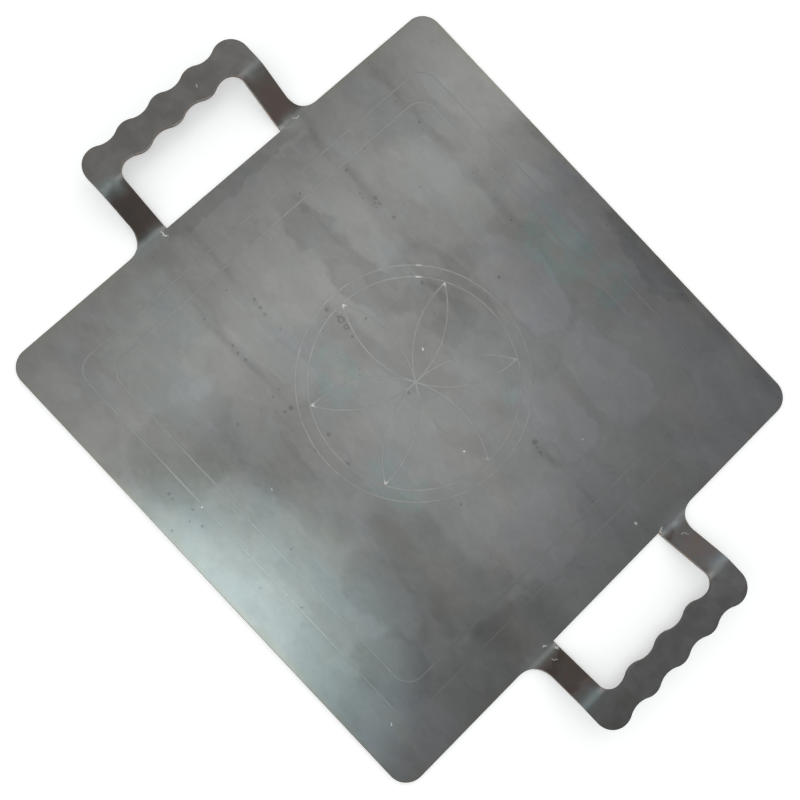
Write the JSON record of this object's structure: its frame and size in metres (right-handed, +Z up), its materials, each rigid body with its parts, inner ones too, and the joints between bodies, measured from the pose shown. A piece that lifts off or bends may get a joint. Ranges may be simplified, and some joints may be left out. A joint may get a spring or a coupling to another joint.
{
  "type": "camp griddle plate",
  "caption": "Square steel griddle plate with raised, finger-notched handles on opposite edges and an engraved border and compass rosette; lies flat over a fire grate or camp stove.",
  "frame": {"origin": "under the middle of the plate, on its flat underside", "axes": "+X from the left handle towards the right handle, +Y towards the rear edge, +Z up out of the cooking face"},
  "size_m": [0.4736, 0.35, 0.0203],
  "materials": {
    "plate_steel": "bare hot-rolled steel sheet with cloudy grey mill scale and fine engraved lines",
    "arm_steel": "bare hot-rolled steel, darker and slightly brown, burnished at the bends",
    "grip_steel": "bare hot-rolled steel with smooth, deburred cut edges"
  },
  "bodies": {
    "root": {"cooking_plate": "plate_steel", "left_front_arm": "arm_steel", "left_rear_arm": "arm_steel", "left_grip": "grip_steel", "right_front_arm": "arm_steel", "right_rear_arm": "arm_steel", "right_grip": "grip_steel"}
  },
  "joints": []
}
